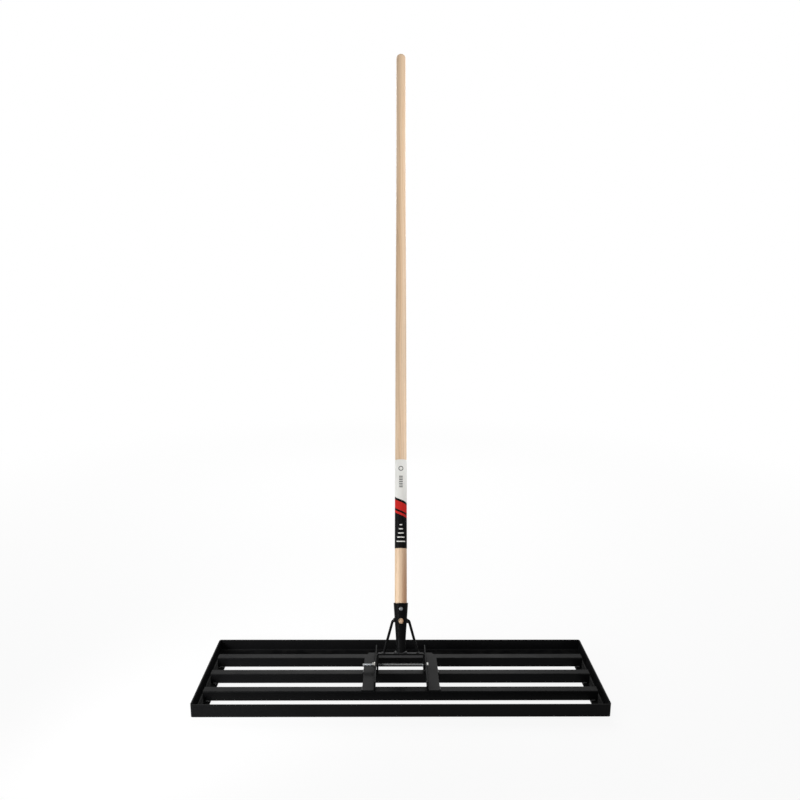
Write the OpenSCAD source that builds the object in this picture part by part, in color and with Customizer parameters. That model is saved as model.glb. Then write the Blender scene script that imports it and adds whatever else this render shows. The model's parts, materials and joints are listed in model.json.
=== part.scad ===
// Levelling rake: an open head of angle iron with three tube slats, and a long
// turned handle in a socket that tilts on a cross bolt between two brackets.

/* [Head frame] */
// Width of the head, side to side
head_w = 914; // [600:1:1200]
// Depth of the head, front to back
head_d = 254; // [230:1:400]
// Leg of the angle iron, upright and flat alike
angle_leg = 30; // [28:0.5:40]
// Thickness of the angle iron
angle_t = 3; // [2:0.1:5]
// Rounding in the root of the angle iron
root_r = 4; // [1:0.1:6]
// Rounding on the toes of the angle iron
toe_r = 1.5; // [0.3:0.1:1.9]
// Rounding of the head's upright outer corners
corner_r = 5; // [0.5:0.1:8]

/* [Slats] */
// Height of the slat tube
slat_h = 24; // [15:0.5:28]
// Depth of the slat tube, front to back
slat_d = 19; // [15:0.5:25]
// Wall of the slat tube
slat_wall = 2; // [1:0.1:2.4]
// Outer corner rounding of the slat tube
slat_r = 2.5; // [2.5:0.1:5]
// Distance from slat to slat
slat_pitch = 64; // [45:1:75]
// How far the middle slat lies in front of the bolt
slat_lead = 4; // [0:0.5:12]
// Distance from a side rail's root to a slat's end
slat_end_gap = 7; // [1:0.5:10]

/* [Brackets] */
// Clear width between the two brackets
bracket_gap = 115; // [95:1:150]
// Distance from the bolt to the top of a bracket
bracket_cover = 8.5; // [7:0.5:16]
// Width cut from the outer rear corner of a bracket
bracket_cut_w = 10; // [2:0.5:14]
// Length cut from the outer rear corner of a bracket
bracket_cut_l = 25; // [2:0.5:30]

/* [Pivot bolt] */
// Diameter of the bolt
bolt_d = 6; // [5:0.5:8]
// Radial clearance of the bolt in its holes
bolt_fit = 0.08; // [0.02:0.01:0.1]
// Size of the bolt head and the nut across flats
hex_af = 10; // [9:0.5:14]
// Height of the bolt head
hex_head_h = 4; // [3:0.1:6]
// Height of the nut
nut_h = 5.2; // [4:0.1:8]
// Thread that stands out past the nut
bolt_tail = 22.2; // [2:0.1:40]
// Diameter of the washer
washer_d = 12; // [11:0.5:16]
// Thickness of the washer
washer_t = 1.6; // [0.8:0.1:3]

/* [Yoke] */
// How far the yoke's flat bar stands out past the socket's foot, front and back
yoke_margin = 1.5; // [0.5:0.1:2.5]
// Thickness of the yoke's flat bar
yoke_t = 4; // [3:0.1:6]
// Side play between yoke and bracket
yoke_play = 1; // [0.4:0.1:3]
// Distance from the bolt to the top of the yoke
yoke_rise = 26; // [22:0.5:40]
// Inner bend radius of the yoke
yoke_bend = 2; // [1:0.5:8]
// Gap between the yoke's feet and the slats
yoke_clear = 2.25; // [1:0.05:5]

/* [Socket] */
// Outer diameter at the mouth
socket_d = 35; // [30:0.5:42]
// Outer diameter at the foot
socket_foot_d = 23.5; // [18:0.5:28]
// Wall of the socket
socket_wall = 2.7; // [1.5:0.1:3.5]
// Length of the socket
socket_len = 113; // [100:1:160]
// Length of the straight stretch at the foot
socket_straight = 32; // [10:1:45]
// Distance from the mouth to the screw
screw_drop = 13; // [9:0.5:20]
// Distance from the mouth to the bare hole
bare_hole_drop = 40.5; // [32:0.5:50]
// Diameter of the bare hole
bare_hole_d = 13; // [4:0.5:15]

/* [Socket screw] */
// Diameter of the screw head
screw_head_d = 9.6; // [7:0.2:12]
// Height of the screw head
screw_head_h = 2.8; // [1.5:0.1:4]
// Diameter of the screw shank
screw_d = 4.8; // [3:0.1:6]
// Length of the screw under its head
screw_len = 22; // [14:0.5:26]

/* [Braces] */
// Diameter of the brace rod
brace_d = 6.3; // [4:0.1:7.5]
// Distance from the mouth of the socket to the top of a brace
brace_drop = 40; // [30:0.5:55]
// Distance from the socket's side to a brace's bend
brace_stub = 4.5; // [4:0.1:12]
// Distance from the socket's foot to a brace's foot
brace_spread = 28.5; // [20:0.5:33]
// Bend radius of a brace at its centre line
brace_bend = 5; // [4:0.5:7]

/* [Handle] */
// Length of the handle, with the stretch inside the socket
handle_len = 1676; // [1000:1:2000]
// Diameter of the straight stretch
handle_d = 28.8; // [26:0.1:34]
// Diameter at the waist
waist_d = 27.2; // [24:0.1:32]
// Diameter at the free end
butt_d = 28.4; // [24:0.1:34]
// Rounding of the free end
butt_r = 5; // [1:0.5:10]
// Clearance of the handle in the socket
handle_fit = 0.15; // [0.05:0.05:0.5]
// Lean of the handle to the back, from upright
handle_lean = 27; // [0:1:60]

/* [Label] */
// Distance from the mouth of the socket to the label
label_rise = 128; // [20:1:300]
// Length of the label
label_len = 219; // [60:1:260]
// Thickness of the label
label_t = 0.25; // [0.1:0.05:0.5]
// Angle that the label wraps round the handle
label_wrap = 330; // [120:5:350]

/* [Welds] */
// Leg of a bead at a slat's end
slat_bead = 4.5; // [2:0.1:6]
// Length of a bead at a slat's end
slat_bead_len = 12; // [4:0.5:16]
// Leg of a bead at a bracket's edge
bracket_bead = 2.8; // [1:0.1:3]
// Length of a bead at a bracket's edge
bracket_bead_len = 14; // [4:0.5:15]
// Leg of the bead round the socket's foot
socket_bead = 4; // [1.5:0.1:6]
// Radius of a bead at a brace's end
brace_bead = 4.6; // [4.2:0.1:5.5]

/* [Hidden] */
$fn = 64;

// Length by which a cut runs past the faces that it cuts
overrun = 1;
// Gap between a bead and the curved face that it covers
bead_gap = 0.05;
// Gap between the label and the handle
label_gap = 0.2;
// Depth of the pilot hole past the tip of the screw
pilot_spare = 1;
// Bevel on the bolt head and on both faces of the nut
hex_bevel = 0.8;
// Bevel at the end of the bolt's thread
thread_bevel = 1;

// Where the straight stretch and the waist lie along the handle's free length
straight_from_share = 0.29;
straight_to_share = 0.415;
waist_share = 0.706;
// How high the crown of the screw head is, of the head's height
screw_crown_share = 0.45;
// How long the tip of the screw is, of its length
screw_tip_share = 0.3;
// Steps in each swelling or narrowing stretch of the handle, and in its round end
taper_steps = 6;
round_steps = 6;
// Sides of the brace rod and steps round its bend
rod_sides = 24;
bend_steps = 6;

black_coat = "#1c1c1d";
weld_black = "#29292a";
zinc = "#c9ccce";
ash = "#dcc19c";
label_white = "#f1f0ec";

// Yoke
yoke_w = bracket_gap - 2 * yoke_play;
yoke_bar_w = socket_foot_d + 2 * yoke_margin;

// Heights: the slats' top, the bolt above it, and a bracket's upright leg
slat_top = angle_t + slat_h;
bolt_rise = yoke_bar_w / 2 + yoke_clear;
bolt_z = slat_top + bolt_rise;
bracket_h = bolt_rise + bracket_cover;

// Plan of the slats and brackets, from the bolt
slat_len = head_w - 2 * (angle_t + root_r + slat_end_gap);
slat_ys = [-slat_lead - slat_pitch, -slat_lead, -slat_lead + slat_pitch];
bracket_len = 2 * slat_pitch + slat_d;
bracket_in = bracket_gap / 2;
bracket_out = bracket_in + angle_leg;
bracket_back = slat_ys[2] + slat_d / 2;

// Pivot
bolt_hole_r = bolt_d / 2 + bolt_fit;
hex_d = hex_af / cos(30);
clamp_x = bracket_in + angle_t;
bolt_len = 2 * clamp_x + washer_t + nut_h + bolt_tail;

// Levels along the handle's axis, from the bolt
mouth_l = yoke_rise + socket_len;
cone_l = yoke_rise + socket_straight;
screw_l = mouth_l - screw_drop;
bare_hole_l = mouth_l - bare_hole_drop;
brace_l = mouth_l - brace_drop;
top_l = cone_l + handle_len;
free_len = top_l - mouth_l;
straight_from_l = mouth_l + straight_from_share * free_len;
straight_to_l = mouth_l + straight_to_share * free_len;
waist_l = mouth_l + waist_share * free_len;
butt_l = top_l - butt_r;
label_l = mouth_l + label_rise;

// Brace: its bend and foot from the handle's axis, its lean, and the run taken by the bend
brace_out = socket_r(brace_l) + brace_stub;
brace_foot = socket_foot_d / 2 + brace_spread;
brace_lean = atan2(brace_foot - brace_out, brace_l - yoke_rise);
brace_turn = 90 - brace_lean;
brace_run = brace_bend * tan(brace_turn / 2);

// Points of the right-hand brace's centre line, each with the rod's direction there as an
// angle from +X: out of the socket, round the bend, and down past the top of the yoke
brace_path = concat(
    [[0, brace_l, 0]],
    [for (i = [0 : bend_steps]) let (a = brace_turn * i / bend_steps)
        [brace_out - brace_run + brace_bend * sin(a), brace_l - brace_bend + brace_bend * cos(a), -a]],
    [[brace_foot + brace_d * sin(brace_lean), yoke_rise - brace_d * cos(brace_lean), -brace_turn]]
);

// Screw seat: clear of the socket where the head overhangs it most
screw_seat = socket_r(screw_l + screw_head_d / 2);

// Puts the middle of the whole part's plan over the origin
handle_reach = butt_l * sin(handle_lean) + (butt_d / 2 - butt_r) * cos(handle_lean) + butt_r;
head_y = (head_d / 2 - handle_reach) / 2;

// Outer radius of the socket at a level of the axis
function socket_r(l) =
    l < cone_l ? socket_foot_d / 2
    : socket_foot_d / 2 + (socket_d - socket_foot_d) / 2 * (l - cone_l) / (mouth_l - cone_l);

function ease(t) = (1 - cos(180 * t)) / 2;
function swell(from, to, l, l_from, l_to) = from + (to - from) * ease((l - l_from) / (l_to - l_from));

// Radius of the handle at a level of the axis
function handle_r(l) =
    l <= mouth_l ? socket_r(l) - socket_wall - handle_fit
    : l <= straight_from_l ? swell(handle_r(mouth_l), handle_d / 2, l, mouth_l, straight_from_l)
    : l <= straight_to_l ? handle_d / 2
    : l <= waist_l ? swell(handle_d / 2, waist_d / 2, l, straight_to_l, waist_l)
    : swell(waist_d / 2, butt_d / 2, l, waist_l, butt_l);

// Levels that divide a stretch, its lower end left out
function levels(from, to, steps) = [for (i = [1 : steps]) from + (to - from) * i / steps];

// Levels at which the handle is turned to size, and the radius there
handle_stations = concat(
    [cone_l, mouth_l],
    levels(mouth_l, straight_from_l, taper_steps),
    [straight_to_l],
    levels(straight_to_l, waist_l, taper_steps),
    levels(waist_l, butt_l, taper_steps)
);
handle_sizes = [for (l = handle_stations) [l, handle_r(l)]];

// Head frame, with the bolt over its centre
module at_head() {
    translate([0, head_y, 0]) children();
}

// Handle's frame: the bolt at the origin, the handle's axis along +Z, its front to -Y
module on_handle() {
    at_head() translate([0, 0, bolt_z]) rotate([-handle_lean, 0, 0]) children();
}

module both_sides() {
    children();
    mirror([1, 0, 0]) children();
}

// Square with the corner at its origin left sharp and the opposite one hollowed by a circle
module hollow_corner(r) {
    difference() {
        square(r);
        translate([r, r]) circle(r);
    }
}

// Angle iron section: heel at the origin, flat leg along +X, upright leg of height h along +Y
module angle_section(h) {
    difference() {
        union() {
            square([angle_leg, angle_t]);
            square([angle_t, h]);
            translate([angle_t, angle_t]) hollow_corner(root_r);
        }
        translate([angle_t, h]) rotate(180) hollow_corner(toe_r);
        translate([angle_leg, angle_t]) rotate(180) hollow_corner(toe_r);
    }
}

// Angle iron that runs along Y, centred, with its legs along +X and +Z
module angle_iron(len, h) {
    rotate([90, 0, 0]) linear_extrude(len, center = true) angle_section(h);
}

module round_rect(w, d, r) {
    square([w - 2 * r, d], center = true);
    square([w, d - 2 * r], center = true);
    for (x = [-1, 1], y = [-1, 1])
        translate([x * (w / 2 - r), y * (d / 2 - r)]) circle(r);
}

// Plan of one mitred rail of length len, its outer edge on X, its inside to +Y
module mitre_plan(len) {
    depth = angle_leg + overrun;
    polygon([[-len / 2, 0], [len / 2, 0], [len / 2 - depth, depth], [-len / 2 + depth, depth]]);
}

// Rail of the head along one edge: len is the edge's length, out its distance from the centre
module rail(len, out, turn) {
    color(black_coat) at_head() intersection() {
        rotate(turn) translate([0, -out, 0]) intersection() {
            rotate(90) mirror([0, 1, 0]) angle_iron(len, angle_leg);
            linear_extrude(angle_leg) mitre_plan(len);
        }
        linear_extrude(angle_leg) round_rect(head_w, head_d, corner_r);
    }
}

module front_rail() {
    rail(head_w, head_d / 2, 0);
}

module rear_rail() {
    rail(head_w, head_d / 2, 180);
}

module left_rail() {
    rail(head_d, head_w / 2, -90);
}

module right_rail() {
    rail(head_d, head_w / 2, 90);
}

module slat(i) {
    color(black_coat) at_head() translate([0, slat_ys[i], angle_t + slat_h / 2])
        rotate([90, 0, 90]) linear_extrude(slat_len, center = true) difference() {
            round_rect(slat_d, slat_h, slat_r);
            round_rect(slat_d - 2 * slat_wall, slat_h - 2 * slat_wall, slat_r - slat_wall);
        }
}

module front_slat() {
    slat(0);
}

module middle_slat() {
    slat(1);
}

module rear_slat() {
    slat(2);
}

// Right-hand bracket: upright leg inside, outer rear corner cut off, drilled for the bolt
module bracket() {
    difference() {
        translate([bracket_in, -slat_lead, slat_top]) angle_iron(bracket_len, bracket_h);
        translate([0, 0, bolt_z]) rotate([0, 90, 0]) cylinder(r = bolt_hole_r, h = bracket_out);
        translate([bracket_out, bracket_back, slat_top - overrun])
            linear_extrude(angle_t + 2 * overrun)
                polygon([[-bracket_cut_w, 0], [0, -bracket_cut_l], [overrun, -bracket_cut_l],
                    [overrun, overrun], [-bracket_cut_w, overrun]]);
    }
}

module left_bracket() {
    color(black_coat) at_head() mirror([1, 0, 0]) bracket();
}

module right_bracket() {
    color(black_coat) at_head() bracket();
}

// Weld bead along +X from its middle: a quarter round in the corner below +Y and above Z
module bead(leg, len) {
    intersection() {
        rotate([0, 90, 0]) cylinder(r = leg, h = len, center = true);
        translate([-len / 2, -leg, 0]) cube([len, leg, leg]);
    }
}

module slat_welds() {
    bead_x = head_w / 2 - angle_leg + slat_bead_len / 2;
    color(weld_black) at_head() both_sides()
        for (y = slat_ys)
            translate([bead_x, y - slat_d / 2, angle_t]) bead(slat_bead, slat_bead_len);
}

module bracket_welds() {
    color(weld_black) at_head() both_sides()
        for (y = [slat_ys[0], slat_ys[1]])
            translate([bracket_out, y, slat_top]) rotate(90) bead(bracket_bead, bracket_bead_len);
}

// Hexagon with its axis along +Z, bevelled at the top and, if both is true, at the bottom
module hexagon(h, both) {
    bevel_d = hex_d - 2 * hex_bevel;
    intersection() {
        cylinder(d = hex_d, h = h, $fn = 6);
        union() {
            translate([0, 0, h - hex_bevel]) cylinder(d1 = hex_d, d2 = bevel_d, h = hex_bevel);
            translate([0, 0, both ? hex_bevel : 0])
                cylinder(d = hex_d, h = both ? h - 2 * hex_bevel : h - hex_bevel);
            if (both) cylinder(d1 = bevel_d, d2 = hex_d, h = hex_bevel);
        }
    }
}

// Bolt's frame: its axis along +Z from the right bracket's outer face to the left
module on_bolt() {
    at_head() translate([clamp_x, 0, bolt_z]) rotate([0, -90, 0]) children();
}

module pivot_bolt() {
    shank_len = bolt_len - thread_bevel;
    color(zinc) on_bolt() {
        mirror([0, 0, 1]) hexagon(hex_head_h, false);
        cylinder(d = bolt_d, h = shank_len);
        translate([0, 0, shank_len])
            cylinder(d1 = bolt_d, d2 = bolt_d - 2 * thread_bevel, h = thread_bevel);
    }
}

module nut_washer() {
    color(zinc) on_bolt() translate([0, 0, 2 * clamp_x]) difference() {
        cylinder(d = washer_d, h = washer_t);
        translate([0, 0, -overrun]) cylinder(r = bolt_hole_r, h = washer_t + 2 * overrun);
    }
}

module pivot_nut() {
    color(zinc) on_bolt() translate([0, 0, 2 * clamp_x + washer_t]) difference() {
        hexagon(nut_h, true);
        translate([0, 0, -overrun]) cylinder(r = bolt_hole_r, h = nut_h + 2 * overrun);
    }
}

// Filled outline of the U, seen from the front: w wide, its top at level top, corners rounded
module u_outline(w, top, bend) {
    foot = yoke_bar_w / 2 + overrun;
    translate([-w / 2, -foot]) square([w, top + foot - bend]);
    translate([-w / 2 + bend, -foot]) square([w - 2 * bend, top + foot]);
    for (x = [-1, 1])
        translate([x * (w / 2 - bend), top - bend]) circle(bend);
}

// Flat bar bent to a U, its legs rounded about the bolt
module yoke() {
    color(black_coat) on_handle() difference() {
        intersection() {
            rotate([90, 0, 0]) linear_extrude(yoke_bar_w, center = true) difference() {
                u_outline(yoke_w, yoke_rise, yoke_bend + yoke_t);
                translate([0, -overrun])
                    u_outline(yoke_w - 2 * yoke_t, yoke_rise - yoke_t + overrun, yoke_bend);
            }
            union() {
                rotate([0, 90, 0]) cylinder(d = yoke_bar_w, h = yoke_w, center = true);
                translate([-yoke_w / 2, -yoke_bar_w / 2, 0]) cube([yoke_w, yoke_bar_w, yoke_rise]);
            }
        }
        rotate([0, 90, 0]) cylinder(r = bolt_hole_r, h = yoke_w + 2 * overrun, center = true);
    }
}

// Socket's outside, or its inside with inset set to the wall, as a solid of revolution
module socket_form(inset) {
    rotate_extrude() polygon([
        [0, yoke_rise], [socket_foot_d / 2 - inset, yoke_rise], [socket_foot_d / 2 - inset, cone_l],
        [socket_d / 2 - inset, mouth_l], [0, mouth_l]
    ]);
}

module socket() {
    color(black_coat) on_handle() difference() {
        socket_form(0);
        rotate_extrude() polygon([
            [0, yoke_rise - overrun], [socket_foot_d / 2 - socket_wall, yoke_rise - overrun],
            [socket_foot_d / 2 - socket_wall, cone_l], [socket_d / 2 - socket_wall, mouth_l],
            [socket_d / 2 - socket_wall, mouth_l + overrun], [0, mouth_l + overrun]
        ]);
        translate([0, 0, bare_hole_l]) rotate([90, 0, 0]) cylinder(d = bare_hole_d, h = socket_d);
        translate([0, 0, screw_l]) rotate([90, 0, 0])
            cylinder(d = screw_d + 2 * handle_fit, h = socket_d);
    }
}

// Round rod of diameter d swept along the brace's centre line
module brace_rod(d) {
    last = len(brace_path) - 1;
    points = [for (p = brace_path, k = [0 : rod_sides - 1])
        let (a = 360 * k / rod_sides, side = d / 2 * cos(a), across = d / 2 * sin(a))
        [p[0] - side * sin(p[2]), across, p[1] + side * cos(p[2])]];
    walls = [for (i = [0 : last - 1], k = [0 : rod_sides - 1])
        let (a = i * rod_sides + k, b = i * rod_sides + (k + 1) % rod_sides)
        each [[a, b, a + rod_sides], [b, b + rod_sides, a + rod_sides]]];
    near_cap = [for (k = [rod_sides - 1 : -1 : 0]) k];
    far_cap = [for (k = [0 : rod_sides - 1]) last * rod_sides + k];
    polyhedron(points, concat(walls, [near_cap, far_cap]));
}

// Half space above the yoke that holds the braces and their beads
module above_yoke() {
    translate([-yoke_w / 2, -yoke_w / 2, yoke_rise]) cube([yoke_w, yoke_w, socket_len]);
}

module brace() {
    difference() {
        intersection() {
            brace_rod(brace_d);
            above_yoke();
        }
        socket_form(-bead_gap);
    }
}

module left_brace() {
    color(black_coat) on_handle() mirror([1, 0, 0]) brace();
}

module right_brace() {
    color(black_coat) on_handle() brace();
}

// Bead round the socket's foot, no wider than the yoke's bar
module socket_weld() {
    inner_r = socket_foot_d / 2 + bead_gap;
    color(weld_black) on_handle() intersection() {
        rotate_extrude() translate([inner_r, yoke_rise]) intersection() {
            circle(socket_bead);
            square(socket_bead);
        }
        translate([-yoke_w / 2, -yoke_bar_w / 2, yoke_rise]) cube([yoke_w, yoke_bar_w, socket_bead]);
    }
}

// Round beads at the brace's top and foot, opened for the rod and the socket
module brace_welds() {
    color(weld_black) on_handle() both_sides() difference() {
        intersection() {
            union() {
                translate([socket_r(brace_l), 0, brace_l]) sphere(brace_bead);
                translate([brace_foot, 0, yoke_rise]) sphere(brace_bead);
            }
            above_yoke();
        }
        brace_rod(brace_d + 2 * bead_gap);
        socket_form(-bead_gap);
    }
}

// Pan head screw, its head on the socket's front and its point in the handle
module socket_screw() {
    crown = screw_head_h * screw_crown_share;
    tip = screw_len * screw_tip_share;
    color(zinc) on_handle() translate([0, -screw_seat, screw_l]) rotate([90, 0, 0]) {
        cylinder(d = screw_head_d, h = screw_head_h - crown);
        translate([0, 0, screw_head_h - crown])
            cylinder(d1 = screw_head_d, d2 = screw_head_d - 2 * crown, h = crown);
        mirror([0, 0, 1]) cylinder(d = screw_d, h = screw_len - tip);
        translate([0, 0, -screw_len]) cylinder(d1 = 0, d2 = screw_d, h = tip);
    }
}

// Turned handle: tapered in the socket, swelling to a straight stretch, then a waist
module handle() {
    round_end = [for (i = [1 : round_steps]) let (a = 90 * i / round_steps)
        [butt_d / 2 - butt_r + butt_r * cos(a), butt_l + butt_r * sin(a)]];
    color(ash) on_handle() difference() {
        rotate_extrude() polygon(concat(
            [[0, cone_l]], [for (s = handle_sizes) [s[1], s[0]]], round_end, [[0, top_l]]
        ));
        translate([0, screw_len + pilot_spare - screw_seat, screw_l]) rotate([90, 0, 0])
            cylinder(d = screw_d + 2 * handle_fit, h = screw_len + pilot_spare);
    }
}

// Sticker wrapped round the handle, open at the back
module label() {
    label_top_l = label_l + label_len;
    stations = concat(
        [label_l], [for (l = handle_stations) if (l > label_l && l < label_top_l) l], [label_top_l]
    );
    inside = [for (l = stations) [lookup(l, handle_sizes) + label_gap, l]];
    outside = [for (i = [len(stations) - 1 : -1 : 0]) [inside[i][0] + label_t, stations[i]]];
    color(label_white) on_handle() rotate(90 + (360 - label_wrap) / 2)
        rotate_extrude(angle = label_wrap) polygon(concat(inside, outside));
}

front_rail();
rear_rail();
left_rail();
right_rail();
front_slat();
middle_slat();
rear_slat();
left_bracket();
right_bracket();
slat_welds();
bracket_welds();
pivot_bolt();
nut_washer();
pivot_nut();
yoke();
socket();
left_brace();
right_brace();
socket_weld();
brace_welds();
socket_screw();
handle();
label();
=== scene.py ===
"""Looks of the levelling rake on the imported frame: coats, wood, sticker, welds, thread and recess."""
import json
import math

import bmesh
import bpy
from mathutils import Matrix, Vector, noise


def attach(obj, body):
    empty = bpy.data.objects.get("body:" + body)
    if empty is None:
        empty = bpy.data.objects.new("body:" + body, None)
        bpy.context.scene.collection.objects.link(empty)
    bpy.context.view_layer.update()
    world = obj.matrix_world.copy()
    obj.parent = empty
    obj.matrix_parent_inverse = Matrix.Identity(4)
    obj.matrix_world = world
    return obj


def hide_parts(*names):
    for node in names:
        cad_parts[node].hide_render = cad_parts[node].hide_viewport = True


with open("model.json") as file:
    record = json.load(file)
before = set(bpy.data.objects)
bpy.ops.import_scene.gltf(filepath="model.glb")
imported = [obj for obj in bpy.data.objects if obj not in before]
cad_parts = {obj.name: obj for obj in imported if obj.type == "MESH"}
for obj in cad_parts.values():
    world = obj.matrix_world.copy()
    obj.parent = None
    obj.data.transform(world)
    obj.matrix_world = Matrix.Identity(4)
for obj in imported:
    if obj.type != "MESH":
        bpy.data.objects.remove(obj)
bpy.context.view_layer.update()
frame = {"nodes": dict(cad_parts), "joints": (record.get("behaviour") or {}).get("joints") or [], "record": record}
scene = bpy.context.scene
MM = 0.001

# Lean of the handle at rest, and the middle of the bolt, in metres
LEAN = math.radians(27)
BOLT = Vector(frame["joints"][0]["pos_m"])

# Sizes that the solids have, in millimetres; a name in _L is a level along the handle, from the bolt
HEAD_W = 914
ANGLE_LEG = 30
ANGLE_T = 3
SLAT_H = 24
SLAT_D = 19
SLAT_TOP = ANGLE_T + SLAT_H
SLAT_YS = (-68, -4, 60)
BRACKET_OUT = 87.5
CLAMP_X = 60.5
BOLT_R = 3
BOLT_LEN = 150
HEX_AF = 10
HEX_HEAD_H = 4
YOKE_RISE = 26
CONE_L = 58
MOUTH_L = 139
TOP_L = 1734
SOCKET_FOOT_R = 11.75
SOCKET_R = 17.5
SOCKET_WALL = 2.7
HANDLE_FIT = 0.15
STRAIGHT_FROM_L = 601.55
STRAIGHT_TO_L = 800.925
WAIST_L = 1265.07
HANDLE_R = 14.4
WAIST_R = 13.6
BUTT_R = 14.2
BRACE_L = 99
BRACE_FOOT = 40.25
SCREW_L = 126
SCREW_HEAD_R = 4.8
SCREW_HEAD_H = 2.8
LABEL_L = 267
LABEL_LEN = 219
LABEL_GAP = 0.2
LABEL_T = 0.25
LABEL_WRAP = math.radians(330)

# Sizes of details that only the looks have, in millimetres
BUTT_ROUND = 11
BOLT_THREAD_LEN = 48
THREAD_PITCH = 1.0
THREAD_DEPTH = 0.55
WELD_BITE = 0.6
WELD_STEP = 0.28

# Frames: the head with the bolt over its centre, the handle with its axis along Z, the bolt along Z
ON_HEAD = Matrix.Translation((0, BOLT.y, 0))
ON_HANDLE = Matrix.Translation(BOLT) @ Matrix.Rotation(-LEAN, 4, "X")
ON_BOLT = Matrix.Translation(BOLT + Vector((CLAMP_X * MM, 0, 0))) @ Matrix.Rotation(-math.pi / 2, 4, "Y")

# Camera, solved from the head's corners in the photograph, in metres, degrees and pixels
CAMERA_PLACE = (-0.02273, -1.73477, 0.9627)
CAMERA_PITCH = 11.531
CAMERA_YAW = 0.692
CAMERA_ROLL = 0.3628
FOCAL_PX = 662.0
IMAGE_PX = 800.0
SENSOR_MM = 36.0

# Surroundings, with lengths in metres
WHITE = (1, 1, 1, 1)
COOL = (0.95, 1.0, 1.07)
AMBIENT = 0.36
FLOOR_HALF = 9.0
FLOOR_DROP = 0.0005
FLOOR_COLOUR = (0.86, 0.86, 0.86, 1)
FLOOR_FADE = (0.9, 2.6)
FLOOR_WHITE = (0.9, 1.0)


# Node trees

class Tree:
    """The node tree of a material or world, and short ways to add and link its nodes."""

    def __init__(self, owner):
        owner.use_nodes = True
        self.nodes = owner.node_tree.nodes
        self.links = owner.node_tree.links

    def put(self, value, socket):
        """Links another node's output to a socket, or sets a plain value."""
        if isinstance(value, bpy.types.NodeSocket):
            self.links.new(value, socket)
        else:
            socket.default_value = value

    def add(self, kind, **inputs):
        """Node of a kind, with its inputs by name, an underscore for each space."""
        node = self.nodes.new("ShaderNode" + kind)
        for name, value in inputs.items():
            self.put(value, node.inputs[name.replace("_", " ")])
        return node

    def coords(self, kind="Object"):
        return self.add("TexCoord").outputs[kind]

    def math(self, kind, a, b=0.0, c=0.0):
        node = self.add("Math")
        node.operation = kind
        for value, socket in zip((a, b, c), node.inputs):
            self.put(value, socket)
        return node.outputs[0]

    def ramp(self, value, span, gives=(0.0, 1.0), smooth=True):
        """Value carried from a span to the range that it gives, and held at both ends."""
        node = self.add("MapRange", Value=value, From_Min=span[0], From_Max=span[1],
                        To_Min=gives[0], To_Max=gives[1])
        node.interpolation_type = "SMOOTHSTEP" if smooth else "LINEAR"
        return node.outputs["Result"]

    def seen_directly(self):
        """Value that is 1 for camera, glossy and transmission rays."""
        path = self.add("LightPath").outputs
        first = self.math("MAXIMUM", path["Is Camera Ray"], path["Is Glossy Ray"])
        return self.math("MAXIMUM", first, path["Is Transmission Ray"])

    def show(self, kind, share, a, b):
        """Sends the mix of two shader nodes to an output node of a kind."""
        mix = self.add("MixShader")
        self.links.new(share, mix.inputs[0])
        self.links.new(a.outputs[0], mix.inputs[1])
        self.links.new(b.outputs[0], mix.inputs[2])
        self.links.new(mix.outputs[0], self.add(kind).inputs[0])


class Shader(Tree):
    """A material with a Principled shader."""

    def __init__(self, name):
        self.mat = bpy.data.materials.new(name)
        super().__init__(self.mat)
        self.skin = self.nodes["Principled BSDF"]

    def set(self, **values):
        for name, value in values.items():
            self.put(value, self.skin.inputs[name.replace("_", " ")])

    def mapped(self, vector, scale=(1, 1, 1), location=(0, 0, 0), rotation=(0, 0, 0), kind="POINT"):
        node = self.add("Mapping", Vector=vector, Location=location, Rotation=rotation, Scale=scale)
        node.vector_type = kind
        return node.outputs[0]

    def noise(self, vector, scale, detail=2.0, rough=0.5):
        node = self.add("TexNoise", Vector=vector, Scale=scale, Detail=detail, Roughness=rough)
        return node.outputs["Fac"]

    def mix(self, share, a, b):
        """Mix of two colours, each another node's output or three plain values."""
        node = self.add("Mix")
        node.data_type = "RGBA"
        self.put(share, node.inputs[0])
        for value, socket in ((a, node.inputs[6]), (b, node.inputs[7])):
            self.put(value if isinstance(value, bpy.types.NodeSocket) else (*value, 1), socket)
        return node.outputs[2]

    def split(self, vector):
        return self.add("SeparateXYZ", Vector=vector).outputs

    def upward(self):
        """How far the surface faces up, from -1 to 1."""
        return self.split(self.add("NewGeometry").outputs["Normal"])[2]

    def bump(self, height, strength, distance):
        return self.add("Bump", Height=height, Strength=strength, Distance=distance).outputs[0]


# Camera and light

def make_camera():
    pitch, yaw, roll = (math.radians(a) for a in (CAMERA_PITCH, CAMERA_YAW, CAMERA_ROLL))
    forward = Vector((math.sin(yaw) * math.cos(pitch), math.cos(yaw) * math.cos(pitch), -math.sin(pitch)))
    level_right = Vector((math.cos(yaw), -math.sin(yaw), 0))
    level_up = level_right.cross(forward)
    right = math.cos(roll) * level_right + math.sin(roll) * level_up
    up = math.cos(roll) * level_up - math.sin(roll) * level_right
    data = bpy.data.cameras.new("camera")
    data.sensor_width = SENSOR_MM
    data.lens = SENSOR_MM * FOCAL_PX / IMAGE_PX
    camera = bpy.data.objects.new("camera", data)
    scene.collection.objects.link(camera)
    turn = Matrix((right, up, -forward)).transposed().to_4x4()
    camera.matrix_world = Matrix.Translation(CAMERA_PLACE) @ turn
    scene.camera = camera


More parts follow.
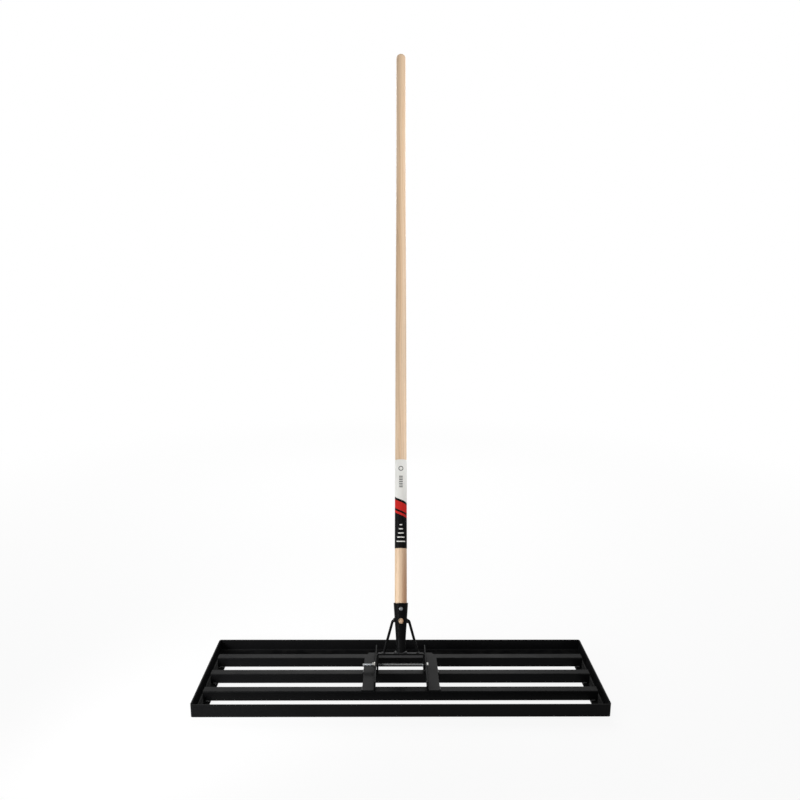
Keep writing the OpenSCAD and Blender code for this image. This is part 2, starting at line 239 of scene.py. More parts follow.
def make_lamp(name, place, target, size, watts, spread, colour=(1, 1, 1)):
    """Rectangular lamp that camera rays don't see, pointed at a target."""
    data = bpy.data.lights.new(name, "AREA")
    data.color = colour
    data.shape = "RECTANGLE"
    data.size, data.size_y = size
    data.energy = watts
    data.spread = math.radians(spread)
    lamp = bpy.data.objects.new(name, data)
    lamp.visible_camera = False
    scene.collection.objects.link(lamp)
    lamp.location = place
    lamp.rotation_euler = (Vector(target) - lamp.location).to_track_quat("-Z", "Y").to_euler()


def make_world():
    """White where it is seen directly, and weaker as ambient light."""
    world = bpy.data.worlds.new("studio")
    scene.world = world
    tree = Tree(world)
    tree.nodes.clear()
    ambient = tree.add("Background", Color=WHITE, Strength=AMBIENT)
    white = tree.add("Background", Color=WHITE, Strength=1.0)
    tree.show("OutputWorld", tree.seen_directly(), ambient, white)


def make_floor():
    """Pale floor that keeps the shadow near the part and fades to white away from it."""
    mesh = bpy.data.meshes.new("floor")
    corners = [(x * FLOOR_HALF, y * FLOOR_HALF, 0) for x, y in ((-1, -1), (1, -1), (1, 1), (-1, 1))]
    mesh.from_pydata(corners, [], [(0, 1, 2, 3)])
    floor = bpy.data.objects.new("floor", mesh)
    floor.location.z = -FLOOR_DROP
    scene.collection.objects.link(floor)
    mat = bpy.data.materials.new("floor")
    tree = Tree(mat)
    tree.nodes.clear()
    plain = tree.add("BsdfDiffuse", Color=FLOOR_COLOUR)
    white = tree.add("Emission", Strength=1.0)
    reach = tree.add("VectorMath")
    reach.operation = "LENGTH"
    tree.links.new(tree.coords(), reach.inputs[0])
    fade = tree.ramp(reach.outputs["Value"], FLOOR_FADE, FLOOR_WHITE)
    tree.show("OutputMaterial", tree.math("MULTIPLY", tree.seen_directly(), fade), plain, white)
    mesh.materials.append(mat)


# Materials

def shaded(colour, shade):
    return tuple(shade * c for c in colour)


def black_coat(name, peel=1.0, gloss=0.0, shade=1.0, mirror=0.035):
    """Semi-gloss black powder coat: fine orange peel, faint clouds and a little dust on what faces up."""
    deep = (0.0042, 0.0042, 0.0044)
    pale = (0.0062, 0.0062, 0.0065)
    dust_colour = (0.24, 0.235, 0.22)
    dust_share = 0.035
    dust_rough = 0.08
    speck_share = 0.35
    peel_strength = 0.22
    s = Shader(name)
    place = s.coords()
    clouds = s.noise(place, scale=14, detail=3)
    fine = s.noise(place, scale=620, rough=0.6)
    specks = s.noise(place, scale=2600, detail=1)
    patches = s.ramp(s.noise(place, scale=46, detail=5, rough=0.62), (0.38, 0.78))
    dust = s.math("MULTIPLY", s.ramp(s.upward(), (0.55, 1.0)), patches)
    base = s.mix(clouds, shaded(deep, shade), shaded(pale, shade))
    base = s.mix(s.math("MULTIPLY", dust, dust_share), base, dust_colour)
    clean_rough = s.ramp(clouds, (0.3, 0.7), (0.37 - gloss, 0.45 - gloss))
    rough = s.math("ADD", clean_rough, s.math("MULTIPLY", dust, dust_rough))
    height = s.math("ADD", fine, s.math("MULTIPLY", specks, speck_share))
    s.set(Base_Color=base, Roughness=rough, Specular_IOR_Level=mirror)
    s.set(Normal=s.bump(height, strength=peel_strength * peel, distance=0.0003))
    return s.mat


def zinc_plate(name, shade=1.0, stretch=(1, 1, 1), dull_within=None, glint_from=None):
    """Zinc plate with a thin passivated tint and fine drawing lines.
    Within dull_within of x = 0 it is darker, with painted shade on what doesn't face up.
    Past a given x it is bright, a painted glint. Both distances are in metres."""
    bluish = (0.33, 0.34, 0.35)
    yellowish = (0.39, 0.38, 0.35)
    spot_colour = (0.15, 0.15, 0.16)
    spot_share = 0.45
    dull_tone = (0.045, 0.043, 0.042)
    dull_share = 0.66
    dull_edge = 0.006
    painted_underside_shade = (0.012, 0.011, 0.010)
    underside_shade_share = 0.9
    painted_glint = (0.66, 0.66, 0.64)
    glint_edge = 0.0004
    s = Shader(name)
    place = s.coords()
    lines = s.noise(s.mapped(place, stretch), scale=900, detail=3, rough=0.6)
    tint = s.ramp(s.noise(place, scale=70), (0.35, 0.7))
    base = s.mix(tint, shaded(bluish, shade), shaded(yellowish, shade))
    spots = s.ramp(s.noise(place, scale=240, detail=4), (0.56, 0.72), (0, spot_share))
    base = s.mix(spots, base, spot_colour)
    if dull_within:
        off_middle = s.math("ABSOLUTE", s.split(place)[0])
        dull = s.ramp(off_middle, (dull_within, dull_within - dull_edge))
        base = s.mix(s.math("MULTIPLY", dull, dull_share), base, dull_tone)
        # Painted shade and dark reflection on what faces down, in the darker middle
        below = s.ramp(s.upward(), (0.5, 0.1), (0, underside_shade_share))
        base = s.mix(s.math("MULTIPLY", dull, below), base, painted_underside_shade)
    # Painted glint: the zinc past the given x, on the bolt's head, is made bright
    if glint_from:
        base = s.mix(s.ramp(s.split(place)[0], (glint_from - glint_edge, glint_from)), base, painted_glint)
    s.set(Base_Color=base, Metallic=1.0, Roughness=s.ramp(lines, (0.3, 0.7), (0.22, 0.4)))
    s.set(Normal=s.bump(lines, strength=0.12, distance=0.0002))
    return s.mat


def ash_wood(name):
    """Sanded pale hardwood: growth rings cut lengthwise, open pores in the rings, slow colour drift, and painted
    shade on its right above the socket.
    """
    light_wood = (0.745, 0.520, 0.325)
    deep_wood = (0.655, 0.432, 0.250)
    late_wood = (0.50, 0.325, 0.185)
    pale_streak = (0.82, 0.655, 0.48)
    dark_fibre = (0.52, 0.35, 0.21)
    pore_colour = (0.33, 0.205, 0.115)
    painted_shade_colour = (0.52, 0.22, 0.09)
    butt_colour = (0.36, 0.24, 0.14)
    late_share = 0.55
    streak_share = 0.34
    fibre_share = 0.30
    pore_share = 0.45
    painted_shade_share = 0.65
    butt_share = 0.4
    pores_elsewhere = 0.25
    fibre_height = 0.5
    least_rough = 0.44
    fibre_rough = 0.16
    # In metres from the handle's axis, and along it from the bolt
    pith_x = 0.031
    pith_y = 0.046
    rings_per_m = 210
    warp = 0.03
    warp_across = 0.8
    run_out = 0.012
    painted_shade_ends = (0.36, MOUTH_L * MM)
    painted_shade_side = (-0.004, 0.009)
    butt_ends = ((TOP_L - 12) * MM, TOP_L * MM)
    s = Shader(name)
    place = s.mapped(s.coords(), location=tuple(BOLT), rotation=(-LEAN, 0, 0), kind="TEXTURE")
    x, y, z = s.split(place)

    def grain(stretch, scale, detail, rough=0.5):
        """Noise drawn out along the handle."""
        return s.noise(s.mapped(place, (1, 1, stretch)), scale, detail, rough)

    # Growth rings round a pith beside the handle, drifting along it
    bend = grain(stretch=0.16, scale=9, detail=2)
    drift = s.math("MULTIPLY", s.math("SUBTRACT", bend, 0.5), warp)
    u = s.math("ADD", s.math("ADD", x, pith_x), s.math("ADD", drift, s.math("MULTIPLY", z, run_out)))
    v = s.math("ADD", s.math("ADD", y, pith_y), s.math("MULTIPLY", drift, warp_across))
    reach = s.math("SQRT", s.math("ADD", s.math("MULTIPLY", u, u), s.math("MULTIPLY", v, v)))
    ring = s.math("FRACT", s.math("MULTIPLY", reach, rings_per_m))
    late = s.math("MULTIPLY", s.ramp(ring, (0.45, 0.96)), s.ramp(ring, (1.0, 0.965)))
    early = s.ramp(ring, (0.42, 0.05))

    # Streaks, fibres and pores along the grain, the pores mostly in the early wood
    fibres = grain(stretch=0.02, scale=900, detail=3, rough=0.62)
    streaks = grain(stretch=0.012, scale=190, detail=3, rough=0.55)
    pores = s.ramp(grain(stretch=0.055, scale=1500, detail=1), (0.63, 0.72))
    pores_there = s.math("MULTIPLY_ADD", early, 1 - pores_elsewhere, pores_elsewhere)
    pores = s.math("MULTIPLY", pores, pores_there)

    base = s.mix(s.ramp(grain(stretch=0.35, scale=5.5, detail=2), (0.3, 0.72)), light_wood, deep_wood)
    base = s.mix(s.math("MULTIPLY", late, late_share), base, late_wood)
    base = s.mix(s.ramp(streaks, (0.36, 0.68), (0, streak_share)), base, pale_streak)
    base = s.mix(s.ramp(fibres, (0.5, 0.8), (0, fibre_share)), base, dark_fibre)
    base = s.mix(s.math("MULTIPLY", pores, pore_share), base, pore_colour)

    # Painted shade, warmer and darker, on the right above the socket, and darker end grain
    painted_shade = s.math("MULTIPLY", s.ramp(z, painted_shade_ends), s.ramp(x, painted_shade_side))
    base = s.mix(s.math("MULTIPLY", painted_shade, painted_shade_share), base, painted_shade_colour)
    base = s.mix(s.ramp(z, butt_ends, (0, butt_share)), base, butt_colour)

    height = s.math("SUBTRACT", s.math("MULTIPLY", fibres, fibre_height), pores)
    rough = s.math("MULTIPLY_ADD", fibres, fibre_rough, least_rough)
    s.set(Base_Color=base, Roughness=rough, Specular_IOR_Level=0.75)
    s.set(Normal=s.bump(height, strength=0.16, distance=0.0004))
    return s.mat


def sticker(name):
    """Plain sticker: white above and black below a slanting edge, with red stripes under the edge,
    white bars that step in towards a point on the black, and thin grey lines and a ring on the white."""
    white = (0.81, 0.79, 0.74)
    black = (0.005, 0.005, 0.005)
    red = (0.56, 0.022, 0.018)
    grey = (0.05, 0.05, 0.05)
    dull_tone = (0.40, 0.39, 0.37)
    # Layout in millimetres up from the lower end and out from the middle
    edge, slope, blur = 118, 0.42, 0.12
    red_stripes = ((91, 112), (80, 86))
    bar_foot, bar_step, bar_height, bar_half_widths = 15, 10, 2.6, (11, 9, 7, 5, 3)
    line_pitch, line_half, first_line, last_line, lines_half_width = 4.4, 1.1, 34, 40, 4.5
    ring_at, ring_inner, ring_outer = 196, 4.2, 6.0
    s = Shader(name)
    u, v, _ = s.split(s.coords("UV"))
    along = s.math("MULTIPLY", v, LABEL_LEN)
    across = s.math("MULTIPLY", s.math("SUBTRACT", u, 0.5), HANDLE_R * LABEL_WRAP)
    aside = s.math("ABSOLUTE", across)
    slant = s.math("MULTIPLY_ADD", across, slope, along)

    def below(value, limit):
        return s.ramp(value, (limit + blur, limit - blur), smooth=False)

    def band(value, low, high):
        above = s.ramp(value, (low - blur, low + blur), smooth=False)
        return s.math("MULTIPLY", above, below(value, high))

    colour = s.mix(below(slant, edge), white, black)
    for low, high in red_stripes:
        colour = s.mix(band(slant, low, high), colour, red)
    for i, half_width in enumerate(bar_half_widths):
        foot = bar_foot + i * bar_step
        bar = s.math("MULTIPLY", band(along, foot, foot + bar_height), below(aside, half_width))
        colour = s.mix(bar, colour, white)
    lines = s.math("MULTIPLY", below(s.math("PINGPONG", along, line_pitch / 2), line_half),
                   band(along, (first_line - 0.5) * line_pitch, (last_line + 0.5) * line_pitch))
    colour = s.mix(s.math("MULTIPLY", lines, below(aside, lines_half_width)), colour, grey)
    rise = s.math("SUBTRACT", along, ring_at)
    squares = s.math("ADD", s.math("MULTIPLY", across, across), s.math("MULTIPLY", rise, rise))
    colour = s.mix(band(s.math("SQRT", squares), ring_inner, ring_outer), colour, grey)
    place = s.coords()
    scuffs = s.noise(s.mapped(place, (1, 1, 0.4)), scale=420, detail=4, rough=0.65)
    colour = s.mix(s.ramp(scuffs, (0.6, 0.75), (0, 0.012)), colour, dull_tone)
    waves = s.noise(place, scale=150)
    s.set(Base_Color=colour, Roughness=s.ramp(waves, (0.3, 0.7), (0.32, 0.42)), Specular_IOR_Level=0.025)
    s.set(Normal=s.bump(waves, strength=0.1, distance=0.0006))
    return s.mat


# Shapes

def around_z(radius, angle, z):
    return Vector((radius * math.cos(angle), radius * math.sin(angle), z))


def skin_rings(bm, rings, caps=(True, True)):
    """Tube through rings of equal count, closed at the ends that caps names."""
    rows = [[bm.verts.new(p) for p in ring] for ring in rings]
    for a, b in zip(rows, rows[1:]):
        for k in range(len(a)):
            n = (k + 1) % len(a)
            bm.faces.new((a[k], a[n], b[n], b[k]))
    if caps[0]:
        bm.faces.new(list(reversed(rows[0])))
    if caps[1]:
        bm.faces.new(rows[-1])
    return rows


def lathe(bm, profile, count):
    """Solid of revolution round Z from (radius, level) pairs; an end with no radius is one point."""
    least = 1e-6
    angles = [math.tau * k / count for k in range(count)]
    rings = [[around_z(r, a, z) for a in angles] for r, z in profile if r > least]
    ends = profile[0], profile[-1]
    rows = skin_rings(bm, rings, [r > least for r, z in ends])
    for (r, z), row in zip(ends, (rows[0], rows[-1])):
        if r <= least:
            tip = bm.verts.new((0, 0, z))
            for k in range(count):
                bm.faces.new((row[k], row[(k + 1) % count], tip))


def quarter_turn(steps=12):
    """Angles from 0 to a right angle in equal steps."""
    return [math.pi / 2 * i / steps for i in range(steps + 1)]


def at_least(value, limit):
    """Holds a value near or above a limit, and keeps different values different."""
    kept_below = 0.06
    return max(value, limit + kept_below * (value - limit))


def finish_piece(name, bm, node, place, body, material, sharp=32):
    """Makes the piece that is seen for a node from a mesh in millimetres.
    Edges that bend by the sharp angle or more, in degrees, are kept crisp."""
    bmesh.ops.remove_doubles(bm, verts=bm.verts, dist=1e-5)
    bmesh.ops.recalc_face_normals(bm, faces=bm.faces)
    bm.transform(place @ Matrix.Scale(MM, 4))
    limit = math.radians(sharp)
    for face in bm.faces:
        face.smooth = True
    for edge in bm.edges:
        edge.smooth = len(edge.link_faces) != 2 or edge.calc_face_angle() < limit
    mesh = bpy.data.meshes.new(name)
    bm.to_mesh(mesh)
    bm.free()
    mesh.materials.append(material)
    piece = bpy.data.objects.new(name, mesh)
    scene.collection.objects.link(piece)
    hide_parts(node)
    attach(piece, body)


def line(a, b, step):
    """Points from a to b, about a step apart."""
    a, b = Vector(a), Vector(b)
    count = max(2, int((b - a).length / step) + 1)
    return [a.lerp(b, i / (count - 1)) for i in range(count)]


def bead(bm, points, radius, out, seed, keep, ripple=1.7):
    """Weld bead along points: overlapping crescent ripples, round ends and an uneven edge.
    out is the outward direction, and keep moves each point to where it may lie."""
    sides = 18
    least_end = 0.05
    crescent = 0.75
    crest = 0.75
    ripple_height = 0.10
    lump_height = 0.10
    lump_scale = 0.35
    seed_step = 7.3
    lengths = [0.0]
    for a, b in zip(points, points[1:]):
        lengths.append(lengths[-1] + (b - a).length)
    rings = []
    for i, (point, s) in enumerate(zip(points, lengths)):
        ahead = (points[min(i + 1, len(points) - 1)] - points[max(i - 1, 0)]).normalized()
        up = (out - ahead * out.dot(ahead)).normalized()
        side = ahead.cross(up)
        near = min(1.0, min(s, lengths[-1] - s) / radius)
        end = max(least_end, math.sqrt(1 - (1 - near) ** 2))
        ring = []
        for k in range(sides):
            a = math.tau * k / sides
            phase = (s / ripple + crescent * (1 - math.cos(a)) + seed) % 1
            tooth = phase if phase < crest else (1 - phase) * crest / (1 - crest)
            lump = noise.noise(Vector((s * lump_scale + seed_step * seed, math.cos(a), math.sin(a))))
            r = radius * end * (1 + ripple_height * (tooth - 0.5) + lump_height * lump)
            ring.append(keep(point + r * (math.cos(a) * up + math.sin(a) * side)))
        rings.append(ring)
    skin_rings(bm, rings)


def blob(bm, centre, radii, seed, keep):
    """Uneven lump of weld metal; keep moves each point to where it may lie."""
    around, upward = 36, 22
    broad_height, broad_scale = 0.22, 1.6
    fine_height, fine_scale = 0.07, 5
    turns = [math.pi * i / upward for i in range(upward + 1)]
    before = len(bm.verts)
    lathe(bm, [(math.sin(a), math.cos(a)) for a in turns], around)
    for vert in list(bm.verts)[before:]:
        d = vert.co.normalized()
        broad = broad_height * noise.noise(d * broad_scale + Vector((seed, 0, 0)))
        fine = fine_height * noise.noise(d * fine_scale + Vector((0, seed, 0)))
        out = Vector((d.x * radii[0], d.y * radii[1], d.z * radii[2]))
        vert.co = keep(Vector(centre) + out * (1 + (broad + fine)))


def hexagon(bm, height, across):
    """Hexagon head along +Z with a turned bevel on top; gives its rows of points."""
    count = 72
    half = across / 2
    foot = half * 0.93
    crown = half * 0.96
    flat = crown * 0.9
    bevel = math.tan(math.radians(30))
    angles = [math.tau * k / count for k in range(count)]
    reach = [half / math.cos(a % (math.tau / 6) - math.pi / 6) for a in angles]
    top = [height - max(0.0, r - crown) * bevel for r in reach]

    def ring(radii, levels):
        return [around_z(r, a, z) for r, a, z in zip(radii, angles, levels)]

    low, high = [0] * count, [height] * count
    rings = [ring([foot] * count, low), ring(reach, low), ring(reach, top),
             ring([crown] * count, high), ring([flat] * count, high)]
    return skin_rings(bm, rings)


def thread(bm, start, end, radius, depth, pitch):
    """Screw thread along Z as a closed solid: one helical band of ridges, trimmed flat at both ends."""
    per_turn = 36
    shoulder = 0.12
    spare_turns = 2
    shape = (radius - depth, radius - shoulder, radius, radius - shoulder)
    band = len(shape)
    low = math.floor(start / pitch) - spare_turns
    high = math.ceil(end / pitch) + spare_turns

    def point(i, turn):
        return bm.verts.new(around_z(shape[i % band], math.tau * turn, (i / band + turn) * pitch))

    rows = [[point(i, k / per_turn) for k in range(per_turn)] for i in range(low * band, high * band)]
    for i in range(len(rows) - 1):
        for k in range(per_turn):
            n = (k + 1) % per_turn
            jump = band if n == 0 else 0
            if i + 1 + jump < len(rows):
                bm.faces.new((rows[i][k], rows[i + jump][n], rows[i + 1 + jump][n], rows[i + 1][k]))
    for level, side in ((start, -1), (end, 1)):
        everything = list(bm.verts) + list(bm.edges) + list(bm.faces)
        cut = bmesh.ops.bisect_plane(bm, geom=everything, dist=1e-6, clear_outer=True,
                                     plane_co=(0, 0, level), plane_no=(0, 0, side))
        rim = [e for e in cut["geom_cut"] if isinstance(e, bmesh.types.BMEdge)]
        bmesh.ops.edgeloop_fill(bm, edges=rim)


def cut_away(body, tool):
    """Mesh of a body less a tool, both of which it frees."""
    forms = []
    for bm in (body, tool):
        bmesh.ops.recalc_face_normals(bm, faces=bm.faces)
        mesh = bpy.data.meshes.new("form")
        bm.to_mesh(mesh)
        bm.free()
        form = bpy.data.objects.new("form", mesh)
        scene.collection.objects.link(form)
        forms.append(form)
    cut = forms[0].modifiers.new("cut", "BOOLEAN")
    cut.operation = "DIFFERENCE"
    cut.solver = "EXACT"
    cut.use_self = True
    cut.object = forms[1]
    made = bmesh.new()
    made.from_object(forms[0], bpy.context.evaluated_depsgraph_get())
    for form in forms:
        mesh = form.data
        bpy.data.objects.remove(form)
        bpy.data.meshes.remove(mesh)
    return made


def socket_radius(level):
    share = min(1.0, max(0.0, (level - CONE_L) / (MOUTH_L - CONE_L)))
    return SOCKET_FOOT_R + (SOCKET_R - SOCKET_FOOT_R) * share


def swell(a, b, level, start, end):
    """Radius that goes from a to b between two levels, straight at both."""
    t = (level - start) / (end - start)
    return a + (b - a) * (1 - math.cos(math.pi * t)) / 2


def handle_radius(level):
    if level <= MOUTH_L:
        return socket_radius(level) - SOCKET_WALL - HANDLE_FIT
    if level <= STRAIGHT_FROM_L:
        return swell(handle_radius(MOUTH_L), HANDLE_R, level, MOUTH_L, STRAIGHT_FROM_L)
    if level <= STRAIGHT_TO_L:
        return HANDLE_R
    if level <= WAIST_L:
        return swell(HANDLE_R, WAIST_R, level, STRAIGHT_TO_L, WAIST_L)
    return swell(WAIST_R, BUTT_R, level, WAIST_L, TOP_L - BUTT_ROUND)


# Pieces

def make_handle(material):
    """Turned handle with a rounded end, slightly crowned."""
    step = 9
    sides = 96
    least_gap = 1
    crown = 0.5
    end = TOP_L - BUTT_ROUND
    flat = BUTT_R - BUTT_ROUND
    levels = [CONE_L, MOUTH_L] + [MOUTH_L + i * step for i in range(1, int((end - MOUTH_L) / step) + 1)]
    profile = [(handle_radius(z), z) for z in levels if z < end - least_gap]
    profile += [(flat + BUTT_ROUND * math.cos(a), end + BUTT_ROUND * math.sin(a)) for a in quarter_turn()]
    profile += [(flat * share, TOP_L + crown * (1 - share ** 2)) for share in (0.75, 0.5, 0.25, 0.0)]
    bm = bmesh.new()
    lathe(bm, profile, sides)
    finish_piece("handle_wood", bm, "handle", ON_HANDLE, "tilting_handle", material, sharp=60)


def make_label(material):
    """Thin sheet round the handle, its print laid out by UV from its lower end."""
    around, along = 110, 60
    front = -math.pi / 2
    bm = bmesh.new()
    layer = bm.loops.layers.uv.new("UVMap")
    grids = []
    for offset in (LABEL_GAP, LABEL_GAP + LABEL_T):
        grid = []
        for i in range(along + 1):
            z = LABEL_L + LABEL_LEN * i / along
            r = handle_radius(z) + offset
            grid.append([bm.verts.new(around_z(r, front + LABEL_WRAP * (k / around - 0.5), z))
                         for k in range(around + 1)])
        grids.append(grid)
    inner, outer = grids

    def face(corners, uvs):
        for loop, uv in zip(bm.faces.new(corners).loops, uvs):
            loop[layer].uv = uv

    for i in range(along):
        for k in range(around):
            uvs = [((k + dk) / around, (i + di) / along) for dk, di in ((0, 0), (1, 0), (1, 1), (0, 1))]
            face((outer[i][k], outer[i][k + 1], outer[i + 1][k + 1], outer[i + 1][k]), uvs)
            face((inner[i][k], inner[i + 1][k], inner[i + 1][k + 1], inner[i][k + 1]),
                 (uvs[0], uvs[3], uvs[2], uvs[1]))
    for i in range(along):
        for k in (0, around):
            spot = (k / around, i / along)
            face((inner[i][k], outer[i][k], outer[i + 1][k], inner[i + 1][k]), [spot] * 4)
    for k in range(around):
        for i in (0, along):
            spot = (k / around, i / along)
            face((inner[i][k], inner[i][k + 1], outer[i][k + 1], outer[i][k]), [spot] * 4)
    finish_piece("label_sheet", bm, "label", ON_HANDLE, "tilting_handle", material)


def make_slat_welds(material):
    """Beads in front of the slats' ends, where they lie on the side rails."""
    length = 12
    radius = 3.6
    ahead = 0.4
    level = ANGLE_T + 0.5
    seed_step = 0.37
    up = Vector((0, -1, 1)).normalized()
    near = HEAD_W / 2 - ANGLE_LEG
    bm = bmesh.new()
    for side in (-1, 1):
        for i, y in enumerate(SLAT_YS):
            front = y - SLAT_D / 2
            ends = [(side * x, front - ahead, level) for x in (near, near + length)]

            def in_corner(p, inside=front + WELD_BITE):
                return Vector((p.x, -at_least(-p.y, -inside), at_least(p.z, ANGLE_T - WELD_BITE)))

            bead(bm, line(*ends, WELD_STEP), radius, up, seed_step * i + side, in_corner)
    finish_piece("slat_welds_rippled", bm, "slat_welds", ON_HEAD, "head", material,
                 sharp=70)


def make_bracket_welds(material):
    """Beads beside the brackets, where they lie on the front and middle slats."""
    half_length = 7
    radius = 2.3
    ripple = 1.4
    out = BRACKET_OUT + 0.2
    level = SLAT_TOP + 0.3
    seed_step = 0.53
    bm = bmesh.new()
    for side in (-1, 1):
        up = Vector((side, 0, 1)).normalized()
        for i, y in enumerate(SLAT_YS[:2]):
            ends = [(side * out, y + reach, level) for reach in (-half_length, half_length)]

            def in_step(p, side=side):
                x = side * at_least(side * p.x, BRACKET_OUT - WELD_BITE)
                return Vector((x, p.y, at_least(p.z, SLAT_TOP - WELD_BITE)))

            bead(bm, line(*ends, WELD_STEP), radius, up, seed_step * i + side, in_step, ripple)
    finish_piece("bracket_welds_rippled", bm, "bracket_welds", ON_HEAD, "head", material,
                 sharp=70)


def make_socket_weld(material):
    """Bead round the socket's foot: thick at the sides, thin where the bar ends in front and behind."""
    around, sides = 220, 16
    thin, more, thinning = 1.25, 2.6, 0.8
    ripple = 1.8
    crescent = 0.7
    crescent_turn = math.pi / 4
    least_share, ripple_share = 0.95, 0.12
    broad_height, broad_scale = 0.25, 3
    fine_height, fine_scale, fine_rise, fine_shift = 0.2, 7, 2, 4
    flatness, offset = 0.95, 0.05
    bm = bmesh.new()
    rows = []
    for k in range(around):
        a = math.tau * k / around
        thick = thin + more * abs(math.cos(a)) ** thinning
        row = []
        for j in range(sides):
            b = math.tau * j / sides
            phase = (a * SOCKET_FOOT_R / ripple + crescent * (1 - math.cos(b - crescent_turn))) % 1
            broad = broad_height * noise.noise(around_z(broad_scale, a, math.cos(b)))
            fine_z = fine_rise * math.sin(b) + fine_shift
            fine = fine_height * noise.noise(around_z(fine_scale, a, fine_z))
            r = thick * (least_share + ripple_share * phase + broad + fine)
            reach = SOCKET_FOOT_R + at_least(offset + r * math.cos(b) * flatness, -WELD_BITE)
            level = YOKE_RISE + at_least(r * math.sin(b), -WELD_BITE)
            row.append(bm.verts.new(around_z(reach, a, level)))
        rows.append(row)
    for a, b in zip(rows, rows[1:] + rows[:1]):
        for j in range(sides):
            n = (j + 1) % sides
            bm.faces.new((a[j], b[j], b[n], a[n]))
    finish_piece("socket_weld_rippled", bm, "socket_weld", ON_HANDLE, "tilting_handle",
                 material, sharp=70)


def make_brace_welds(material):
    """Lumps at both ends of both braces: two at the socket, the second shifted, and one on the bar."""
    first_size, second_size, foot_size = (3.0, 4.2, 4.3), (3.0, 3.2, 3.2), (5.2, 4.9, 2.8)
    first_out, second_out, foot_out, foot_rise = 0.4, 0.9, 0.2, 0.3
    side_shift_seed = ((-1, 2.6, 1.3), (1, -3.2, 4.1))

    def off_socket(p):
        r = math.hypot(p.x, p.y)
        least = socket_radius(p.z) - WELD_BITE
        if r < least:
            p.x, p.y = p.x * least / r, p.y * least / r
        return p

    def on_bar(p):
        p.z = max(p.z, YOKE_RISE - WELD_BITE)
        return p

    bm = bmesh.new()
    r = socket_radius(BRACE_L)
    for side, shift, seed in side_shift_seed:
        blob(bm, (side * (r + first_out), 0, BRACE_L), first_size, seed, off_socket)
        blob(bm, (side * (r + second_out), 0, BRACE_L + shift), second_size, seed + 2, off_socket)
        blob(bm, (side * (BRACE_FOOT + foot_out), 0, YOKE_RISE + foot_rise), foot_size, seed + 5, on_bar)
    finish_piece("brace_welds_lumps", bm, "brace_welds", ON_HANDLE, "tilting_handle",
                 material, sharp=80)


def make_bolt(material):
    """Hexagon bolt with a thread: head, shank, ridges and tip, each run a little into the next."""
    sides = 40
    start, end = BOLT_LEN - BOLT_THREAD_LEN, BOLT_LEN - 0.9
    into_head, run_out, into_thread = 0.3, 1.2, 0.2
    tip_foot, tip_edge = BOLT_LEN - 1.6, BOLT_LEN - 0.6
    core = BOLT_R - THREAD_DEPTH
    tip_r = core - 0.02
    tip_bevel = 0.53
    bm = bmesh.new()
    thread(bm, start, end, BOLT_R, THREAD_DEPTH, THREAD_PITCH)
    head = [vert for row in hexagon(bm, HEX_HEAD_H, HEX_AF) for vert in row]
    bmesh.ops.rotate(bm, matrix=Matrix.Rotation(math.pi, 3, "X"), verts=head)
    lathe(bm, [(BOLT_R, -into_head), (BOLT_R, start - run_out), (core, start + into_thread)], sides)
    lathe(bm, [(tip_r, tip_foot), (tip_r, tip_edge), (tip_r - tip_bevel, BOLT_LEN), (0, BOLT_LEN)], sides)
    finish_piece("pivot_bolt_threaded", bm, "pivot_bolt", ON_BOLT, "head", material, sharp=28)


def make_screw(material):
    """Pan head screw with a cross recess, and its shank in the wood."""
    sides = 56
    shank_r, shank_len = 2.4, 3.0
    foot_bevel, rim = 0.25, 0.5
    dome_h = SCREW_HEAD_H - rim
    fullness, steepness = 0.62, 0.9
    recess_foot = (SCREW_HEAD_H - 1.9, 0.42, 1.4)
    recess_top = (SCREW_HEAD_H + 0.6, 0.78, 3.0)
    recess_turn = math.radians(24)
    profile = [(0.0, -shank_len), (shank_r, -shank_len), (shank_r, 0.0),
               (SCREW_HEAD_R - foot_bevel, 0.0), (SCREW_HEAD_R, foot_bevel)]
    profile += [(SCREW_HEAD_R * math.cos(a) ** fullness, rim + dome_h * math.sin(a) ** steepness)
                for a in quarter_turn()]
    body = bmesh.new()
    lathe(body, profile, sides)
    cross = bmesh.new()
    for turn in (0, math.pi / 2):
        rings = []
        for z, wide, long in (recess_foot, recess_top):
            rings.append([Matrix.Rotation(turn, 4, "Z") @ Vector((x, y, z))
                          for x, y in ((-long, -wide), (long, -wide), (long, wide), (-long, wide))])
        skin_rings(cross, rings)
    seat = Vector((0, -socket_radius(SCREW_L + SCREW_HEAD_R), SCREW_L)) * MM
    place = ON_HANDLE @ Matrix.Translation(seat) @ Matrix.Rotation(math.pi / 2, 4, "X")
    place = place @ Matrix.Rotation(recess_turn, 4, "Z")
    bm = cut_away(body, cross)
    finish_piece("socket_screw_cross", bm, "socket_screw", place, "tilting_handle", material,
                 sharp=34)


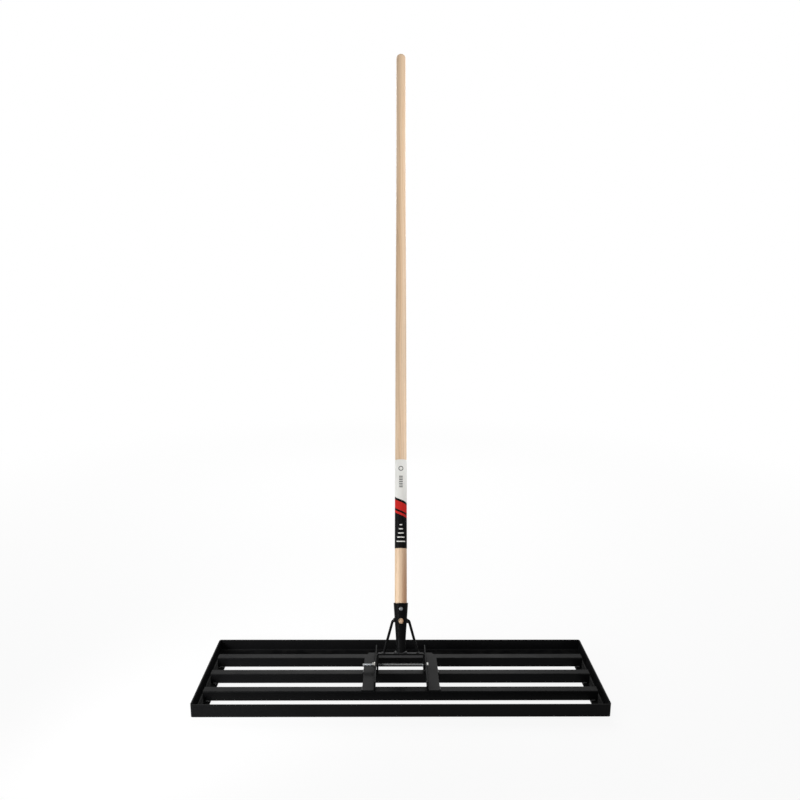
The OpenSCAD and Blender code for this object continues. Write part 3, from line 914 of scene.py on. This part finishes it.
def dress_nodes(coat, zinc, special):
    """Gives the carried-over solids their materials, by node or else by slot."""
    finish = {"black_coat": coat, "zinc": zinc}
    for part in frame["record"]["subparts"]:
        node = frame["nodes"][part["node"]]
        material = special.get(part["node"], finish.get(part["material_slot"]))
        if material:
            node.data.materials.clear()
            node.data.materials.append(material)


scene.view_settings.view_transform = "Standard"
make_camera()
make_world()
make_floor()
make_lamp("front_fill", place=(0.0, -2.3, 1.7), target=(0, 0.4, 1.3), size=(1.2, 0.9),
          watts=5.0, spread=70)
make_lamp("left_low", place=(-1.45, -0.8, 0.62), target=(0, -0.2, 0.3), size=(0.6, 0.5),
          watts=0.8, spread=42, colour=COOL)
make_lamp("left_end", place=(-0.95, -1.05, 0.45), target=(-0.42, -0.42, 0.03), size=(0.3, 0.3),
          watts=1.05, spread=50)
make_lamp("right_high", place=(1.7, -0.35, 1.65), target=(0, 0.36, 1.2), size=(0.8, 1.1),
          watts=2.9, spread=66, colour=COOL)
make_lamp("right_mid", place=(1.3, -0.35, 0.7), target=(0, -0.1, 0.52), size=(0.12, 0.12),
          watts=0.09, spread=22, colour=COOL)
make_lamp("above_behind", place=(0.0, 1.6, 1.5), target=(0, -0.3, 0.0), size=(2.0, 1.2),
          watts=24, spread=150)

coat = black_coat("black_powder_coat")
# Darker copy of the coat for the socket, yoke and braces: painted shade
painted_shade_coat = black_coat("black_powder_coat_painted_shade", shade=0.55)
weld_coat = black_coat("black_coat_on_welds", peel=0.6, gloss=0.14, mirror=0.22)
zinc = zinc_plate("zinc_plate")
# The bolt's zinc has painted shade under its middle and a painted glint on its head
bolt_zinc = zinc_plate("zinc_plate_bolt_painted_shade_and_glint", stretch=(0.2, 1, 1), dull_within=0.053,
                       glint_from=CLAMP_X * MM)
# Darker copy of the zinc for the screw: painted shade
painted_shade_screw_zinc = zinc_plate("zinc_plate_screw_painted_shade", shade=0.5)
dress_nodes(coat, zinc, {node: painted_shade_coat for node in ("socket", "yoke", "left_brace", "right_brace")})
make_handle(ash_wood("ash_wood"))
make_label(sticker("sticker"))
make_slat_welds(weld_coat)
make_bracket_welds(weld_coat)
make_socket_weld(weld_coat)
make_brace_welds(weld_coat)
make_bolt(bolt_zinc)
make_screw(painted_shade_screw_zinc)
